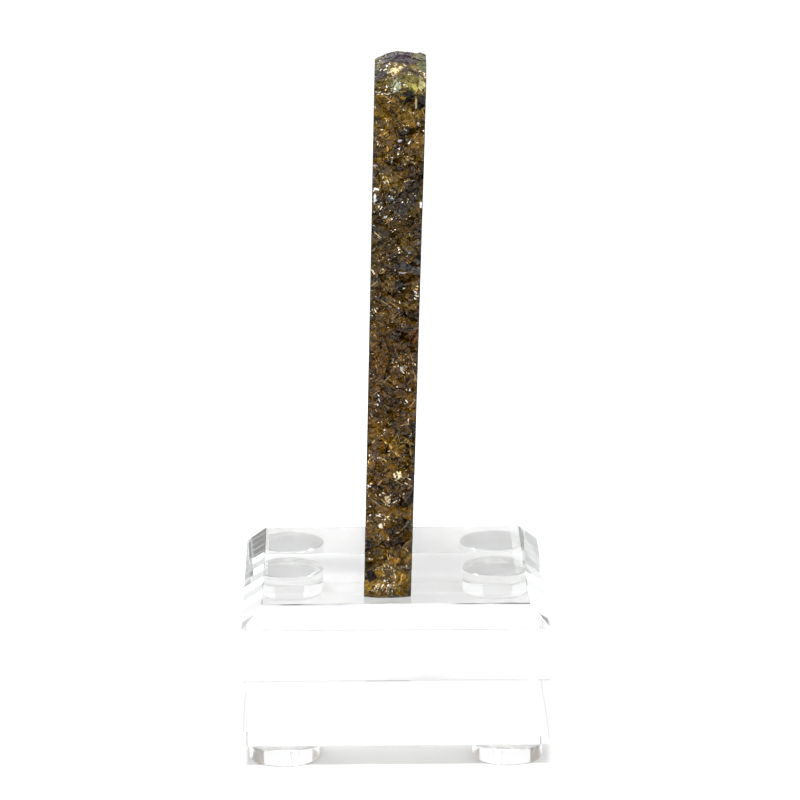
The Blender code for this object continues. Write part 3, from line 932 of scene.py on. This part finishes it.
def broken_rim(sheet, bands):
    """Colour of the broken rim, from the bands under the skin, and how far flecks and marks cover it."""
    # Tone of the facets: dark ones look into the crystal, bright ones catch the room.
    cells = sheet.cells(sheet.coords, TONE_CELLS)[1]
    mottle = sheet.noise(sheet.coords, MOTTLE, detail=1.5, roughness=0.5)
    mesh_share, cell_share = TONE_SHARES
    tone = sheet.plus(sheet.times(sheet.attribute("tone"), mesh_share), sheet.times(cells[0], cell_share))
    tone = sheet.plus(tone, sheet.fit(mottle, *MOTTLE_RANGE))
    colour = sheet.shade(bands, sheet.ramp(tone, TONE_COLOURS))

    # Fine fibres with one direction to a room, lit in some rooms.
    rooms = sheet.cells(sheet.shake(sheet.coords, *ROOM_SHAKE), GRAIN_ROOMS)[1]
    turned = sheet.swirl(sheet.coords, sheet.times(rooms[0], math.pi))
    grain = sheet.noise(sheet.slant(turned, GRAIN_SIZE), 1.0, detail=4.0, roughness=0.62)
    colour = sheet.shade(colour, sheet.ramp(grain, GRAIN_COLOURS))
    lit = sheet.times(sheet.fit(grain, *LIT_GRAIN), sheet.fit(rooms[1], *LIT_ROOMS))
    colour = sheet.blend(lit, colour, GRAIN_LIGHT)

    # Long thin slivers along the cleavage, a few of them bright, and small flecks in clusters, the palest of
    # them painted glints.
    for turn, seldom in SLIVERS:
        chip = sheet.chips(sheet.coords, SLIVER_SIZE, (0.0, turn, 0.0))
        there = sheet.fit(chip[0], seldom, seldom + SLIVER_FADE, 0.0, SLIVER_COVER)
        colour = sheet.blend(there, colour, sheet.ramp(chip[1], SLIVER_COLOURS))
    flecks = sheet.chips(sheet.shake(turned, *FLECK_SHAKE), FLECK_SIZE, (0.0, FLECK_TURN, 0.0))
    clusters = sheet.noise(sheet.coords, FLECK_CLUSTERS, detail=2.0)
    rare = sheet.plus(flecks[0], sheet.fit(clusters, *CLUSTER_RANGE))
    rare = sheet.plus(rare, sheet.times(sheet.attribute("sparkle"), SPARKLE_GAIN))
    fleck = sheet.fit(rare, *FLECK_RARITY)
    colour = sheet.blend(fleck, colour, sheet.ramp(flecks[1], FLECK_COLOURS))

    # Marks on the front with bitten edges, painted glints and painted shade among them, then the painted
    # dark reflection line where the rim meets a polished face.
    stain_and_painted_light, cover = (sheet.attribute("stain_and_painted_light", output) for output in ("Color", "Alpha"))
    bite = sheet.plus(sheet.noise(sheet.coords, BITE, detail=2.0), sheet.times(cells[1], BITE_CELLS))
    cover = sheet.fit(sheet.plus(cover, sheet.fit(bite, *BITE_RANGE)), *MARK_EDGE)
    colour = sheet.blend(cover, colour, sheet.shade(stain_and_painted_light, sheet.ramp(tone, MARK_SHADES)))
    # Painted dark reflection along both edges of the rim.
    line = sheet.times(sheet.fit(sheet.attribute("edge"), *EDGE_LINE), sheet.fit(mottle, *EDGE_LINE_GAPS))
    return sheet.blend(line, colour, RIM_EDGE_REFLECTION_COLOUR), sheet.math("MAXIMUM", fleck, cover)


def polished_faces(sheet, bands, y, crust, body):
    """Colour of the polished faces, with growth lines that follow the skin in steps, and the veils."""
    steps = sheet.times(sheet.math("PINGPONG", sheet.plus(y, STEP_START), STEP_LENGTH), STEP_RISE)
    growth = sheet.join(0.0, 0.0, sheet.plus(body, steps))
    lines = sheet.noise(growth, GROWTH_LINES, detail=5.0, roughness=0.75)
    colour = sheet.blend(POLISH_PALENESS, bands, POLISH_TINT)
    colour = sheet.shade(colour, sheet.ramp(lines, LINE_COLOURS))
    colour = sheet.shade(colour, sheet.ramp(sheet.noise(growth, GROWTH_BANDS, detail=2.0), BAND_COLOURS))
    clouds = sheet.noise(sheet.coords, CLOUDS, detail=5.0, roughness=0.6)
    colour = sheet.blend(sheet.fit(clouds, *CLOUD_RANGE), colour, CLOUD_COLOUR)
    skin = sheet.ramp(sheet.math("DIVIDE", crust, CRUST_DEPTH), SKIN_COLOURS)
    colour = sheet.blend(sheet.fit(crust, *CRUST_END), skin, colour)
    veil = 0.0
    for turn, seldom in VEILS:
        streak = sheet.chips(sheet.coords, VEIL_SIZE, (turn, 0.0, 0.0))
        veil = sheet.math("MAXIMUM", veil, sheet.fit(streak[0], seldom, seldom + VEIL_FADE))
    veil = sheet.times(veil, sheet.fit(clouds, *VEIL_RANGE))
    return sheet.blend(veil, colour, VEIL_COLOUR), veil


def fluorite_material(settings):
    """Golden-brown fluorite: bands under a natural rind, polished faces and a glassy broken rim."""
    sheet = NodeSheet("golden_brown_fluorite")
    shader = sheet.shader
    rim = sheet.attribute("rim")
    _, y, z = sheet.split(sheet.coords)
    crust, body = skin_depth(sheet, y, z)
    bands = sheet.ramp(sheet.math("DIVIDE", body, BODY_DEPTH), ZONE_COLOURS)
    broken, covered = broken_rim(sheet, bands)
    polished, veil = polished_faces(sheet, bands, y, crust, body)
    sheet.plug(sheet.blend(rim, polished, broken), shader.inputs["Base Color"])
    sheet.plug(sheet.fit(rim, 0.0, 1.0, POLISHED_ROUGHNESS, RIM_ROUGHNESS), shader.inputs["Roughness"])
    strength = sheet.times(rim, RIM_BUMP_STRENGTH)
    bumps = sheet.bump(sheet.cells(sheet.coords, RIM_BUMP_CELLS)[0], RIM_BUMP, strength)
    sheet.plug(bumps, shader.inputs["Normal"])
    clear = sheet.math("SUBTRACT", RIM_CLEARNESS, sheet.times(covered, COVER_DULLNESS), clamp=True)
    clear = sheet.mix(rim, sheet.fit(veil, 0.0, 1.0, POLISHED_CLEARNESS, VEIL_CLEARNESS), clear)
    sheet.plug(clear, shader.inputs["Transmission Weight"])
    shader.inputs["Specular IOR Level"].default_value = SPECULAR_LEVEL
    shader.inputs["IOR"].default_value = settings.ior
    sheet.absorb(settings.depth_colour, settings.depth_density)
    return sheet.material


def make_slice(settings):
    """The slab: its fine broken rim, a flat foot on the block and two flat polished faces."""
    block_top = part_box("acrylic_block")[1].z
    grid, looks = rim_points(settings, block_top + SLAB_GAP)
    rows, columns = grid.shape[:2]
    faces = grid_faces(rows, columns, closed=False)
    rim_count = len(faces)
    last = (rows - 1) * columns
    faces.append(list(range(columns))[::-1] + list(range(last, last + columns)))
    faces.append([i * columns for i in range(rows)])
    faces.append([i * columns + columns - 1 for i in range(rows)][::-1])
    piece = object_from_arrays("fluorite_slab", grid.reshape(-1, 3), faces, fluorite_material(settings))
    broken = np.zeros(len(faces), dtype=np.float32)
    broken[:rim_count] = 1.0
    mask = piece.data.attributes.new("rim", "FLOAT", "FACE")
    mask.data.foreach_set("value", broken)
    for name in ("tone", "edge", "sparkle"):
        layer = piece.data.attributes.new(name, "FLOAT", "POINT")
        layer.data.foreach_set("value", looks[name].ravel())
    layer = piece.data.attributes.new("stain_and_painted_light", "FLOAT_COLOR", "POINT")
    layer.data.foreach_set("color", looks["stain_and_painted_light"].ravel())
    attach(piece, "root")
    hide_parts("fluorite_slice")


def floor_material(settings):
    """Plain pale matt floor with the faintest mottle."""
    sheet = NodeSheet("pale_studio_floor")
    mottle = sheet.noise(sheet.coords, FLOOR_MOTTLE, detail=2.0)
    colour = tuple(settings.floor_colour)
    paler = tuple(min(1.0, value * FLOOR_MOTTLE_GAIN) for value in colour)
    sheet.plug(sheet.ramp(mottle, ((0.3, colour), (0.7, paler))), sheet.shader.inputs["Base Color"])
    sheet.shader.inputs["Roughness"].default_value = FLOOR_ROUGHNESS
    sheet.shader.inputs["Specular IOR Level"].default_value = FLOOR_SPECULAR
    return sheet.material


def make_floor(settings):
    """Floor: a level square that bends up into a backdrop far behind, a profile carried sideways."""
    reach = settings.floor_size / 2
    bend = np.linspace(0.0, math.pi / 2, FLOOR_BEND_POINTS)
    radius = reach / 3
    depth = np.concatenate([[-reach], reach - radius + radius * np.sin(bend)])
    height = np.concatenate([[0.0], radius - radius * np.cos(bend)]) - settings.floor_gap
    sides = np.array([-reach, reach])
    points = np.array([(side, d, h) for d, h in zip(depth, height) for side in sides])
    faces = grid_faces(len(depth), 2, closed=False)
    object_from_arrays("studio_floor", points, faces, floor_material(settings))


def make_camera():
    """Camera placed and turned as the photograph was taken."""
    forward = np.array([-math.sin(CAMERA_YAW) * math.cos(CAMERA_PITCH),
                        math.cos(CAMERA_YAW) * math.cos(CAMERA_PITCH), -math.sin(CAMERA_PITCH)])
    level = np.array([math.cos(CAMERA_YAW), math.sin(CAMERA_YAW), 0.0])
    up = np.cross(level, forward)
    right = level * math.cos(CAMERA_ROLL) + up * math.sin(CAMERA_ROLL)
    up = -level * math.sin(CAMERA_ROLL) + up * math.cos(CAMERA_ROLL)
    data = bpy.data.cameras.new("photo_camera")
    data.lens = CAMERA_LENS
    data.sensor_width = CAMERA_SENSOR
    data.clip_start = CAMERA_CLIP
    camera = bpy.data.objects.new("photo_camera", data)
    bpy.context.scene.collection.objects.link(camera)
    turn = np.column_stack([right, up, -forward])
    camera.matrix_world = Matrix.Translation(CAMERA_PLACE) @ Matrix(turn.tolist()).to_4x4()
    bpy.context.scene.camera = camera


def soft_box(name, place, aim, size, power):
    """Rectangular soft light at a place, turned to its aim."""
    data = bpy.data.lights.new(name, "AREA")
    data.shape = "RECTANGLE"
    data.size, data.size_y = size
    data.energy = power
    light = bpy.data.objects.new(name, data)
    bpy.context.scene.collection.objects.link(light)
    turn = (Vector(aim) - Vector(place)).to_track_quat("-Z", "Y").to_matrix().to_4x4()
    light.matrix_world = Matrix.Translation(place) @ turn


def make_lights(settings):
    """A white tent, dimmer towards the camera, with a soft box high in front and one on each side.

    The tent's brightness follows the cosine of the angle to the camera's place.
    """
    world = bpy.data.worlds.new("white_room")
    world.use_nodes = True
    bpy.context.scene.world = world
    nodes = world.node_tree.nodes
    links = world.node_tree.links
    background = nodes["Background"]
    background.inputs["Color"].default_value = (1.0, 1.0, 1.0, 1.0)
    facing = nodes.new("ShaderNodeVectorMath")
    facing.operation = "DOT_PRODUCT"
    links.new(nodes.new("ShaderNodeTexCoord").outputs["Generated"], facing.inputs[0])
    facing.inputs[1].default_value = Vector(CAMERA_PLACE).normalized()
    spread = nodes.new("ShaderNodeMapRange")
    spread.interpolation_type = "SMOOTHSTEP"
    links.new(facing.outputs["Value"], spread.inputs["Value"])
    for name, number in zip(RANGE_SOCKETS, (*TENT_EDGES, settings.tent, settings.tent_opening)):
        spread.inputs[name].default_value = number
    links.new(spread.outputs["Result"], background.inputs["Strength"])
    soft_box("soft_box_key", KEY_PLACE, KEY_AIM, KEY_SIZE, settings.key_power)
    x, y, z = SIDE_PLACE
    for side, name in ((-1, "left"), (1, "right")):
        soft_box("soft_box_" + name, (side * x, y, z), SIDE_AIM, SIDE_SIZE, settings.side_power)


class FLUORITE_OT_stand(bpy.types.Operator):
    """Build the clear block and its feet"""

    bl_idname = "fluorite.stand"
    bl_label = "Clear stand"

    def execute(self, context):
        make_stand(context.scene.fluorite_stand)
        return {"FINISHED"}


class FLUORITE_OT_slab(bpy.types.Operator):
    """Build the fluorite slab"""

    bl_idname = "fluorite.slab"
    bl_label = "Fluorite slab"

    def execute(self, context):
        make_slice(context.scene.fluorite_slice)
        return {"FINISHED"}


class FLUORITE_OT_stage(bpy.types.Operator):
    """Set up the floor, the light and the camera"""

    bl_idname = "fluorite.stage"
    bl_label = "Studio stage"

    def execute(self, context):
        settings = context.scene.fluorite_stage
        make_floor(settings)
        make_lights(settings)
        make_camera()
        context.scene.view_settings.view_transform = "Standard"
        for name in ("max_bounces", "glossy_bounces", "transmission_bounces"):
            setattr(context.scene.cycles, name, settings.path_depth)
        return {"FINISHED"}


class FLUORITE_PT_panel(bpy.types.Panel):
    """Lists the settings and the builders"""

    bl_label = "Fluorite slice on stand"
    bl_idname = "FLUORITE_PT_panel"
    bl_space_type = "VIEW_3D"
    bl_region_type = "UI"
    bl_category = "Fluorite"

    def draw(self, context):
        scene = context.scene
        builders = (
            (scene.fluorite_stand, "fluorite.stand"),
            (scene.fluorite_slice, "fluorite.slab"),
            (scene.fluorite_stage, "fluorite.stage"),
        )
        for group, operator in builders:
            box = self.layout.box()
            for name in group.bl_rna.properties.keys():
                if name not in {"rna_type", "name"}:
                    box.prop(group, name)
            box.operator(operator)


CLASSES = (StandSettings, SliceSettings, StageSettings,
           FLUORITE_OT_stand, FLUORITE_OT_slab, FLUORITE_OT_stage, FLUORITE_PT_panel)


def register():
    for cls in CLASSES:
        bpy.utils.register_class(cls)
    bpy.types.Scene.fluorite_stand = PointerProperty(type=StandSettings)
    bpy.types.Scene.fluorite_slice = PointerProperty(type=SliceSettings)
    bpy.types.Scene.fluorite_stage = PointerProperty(type=StageSettings)


def unregister():
    for name in ("fluorite_stand", "fluorite_slice", "fluorite_stage"):
        delattr(bpy.types.Scene, name)
    for cls in reversed(CLASSES):
        bpy.utils.unregister_class(cls)


def main():
    register()
    bpy.ops.fluorite.stand()
    bpy.ops.fluorite.slab()
    bpy.ops.fluorite.stage()
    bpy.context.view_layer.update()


if __name__ == "__main__":
    main()
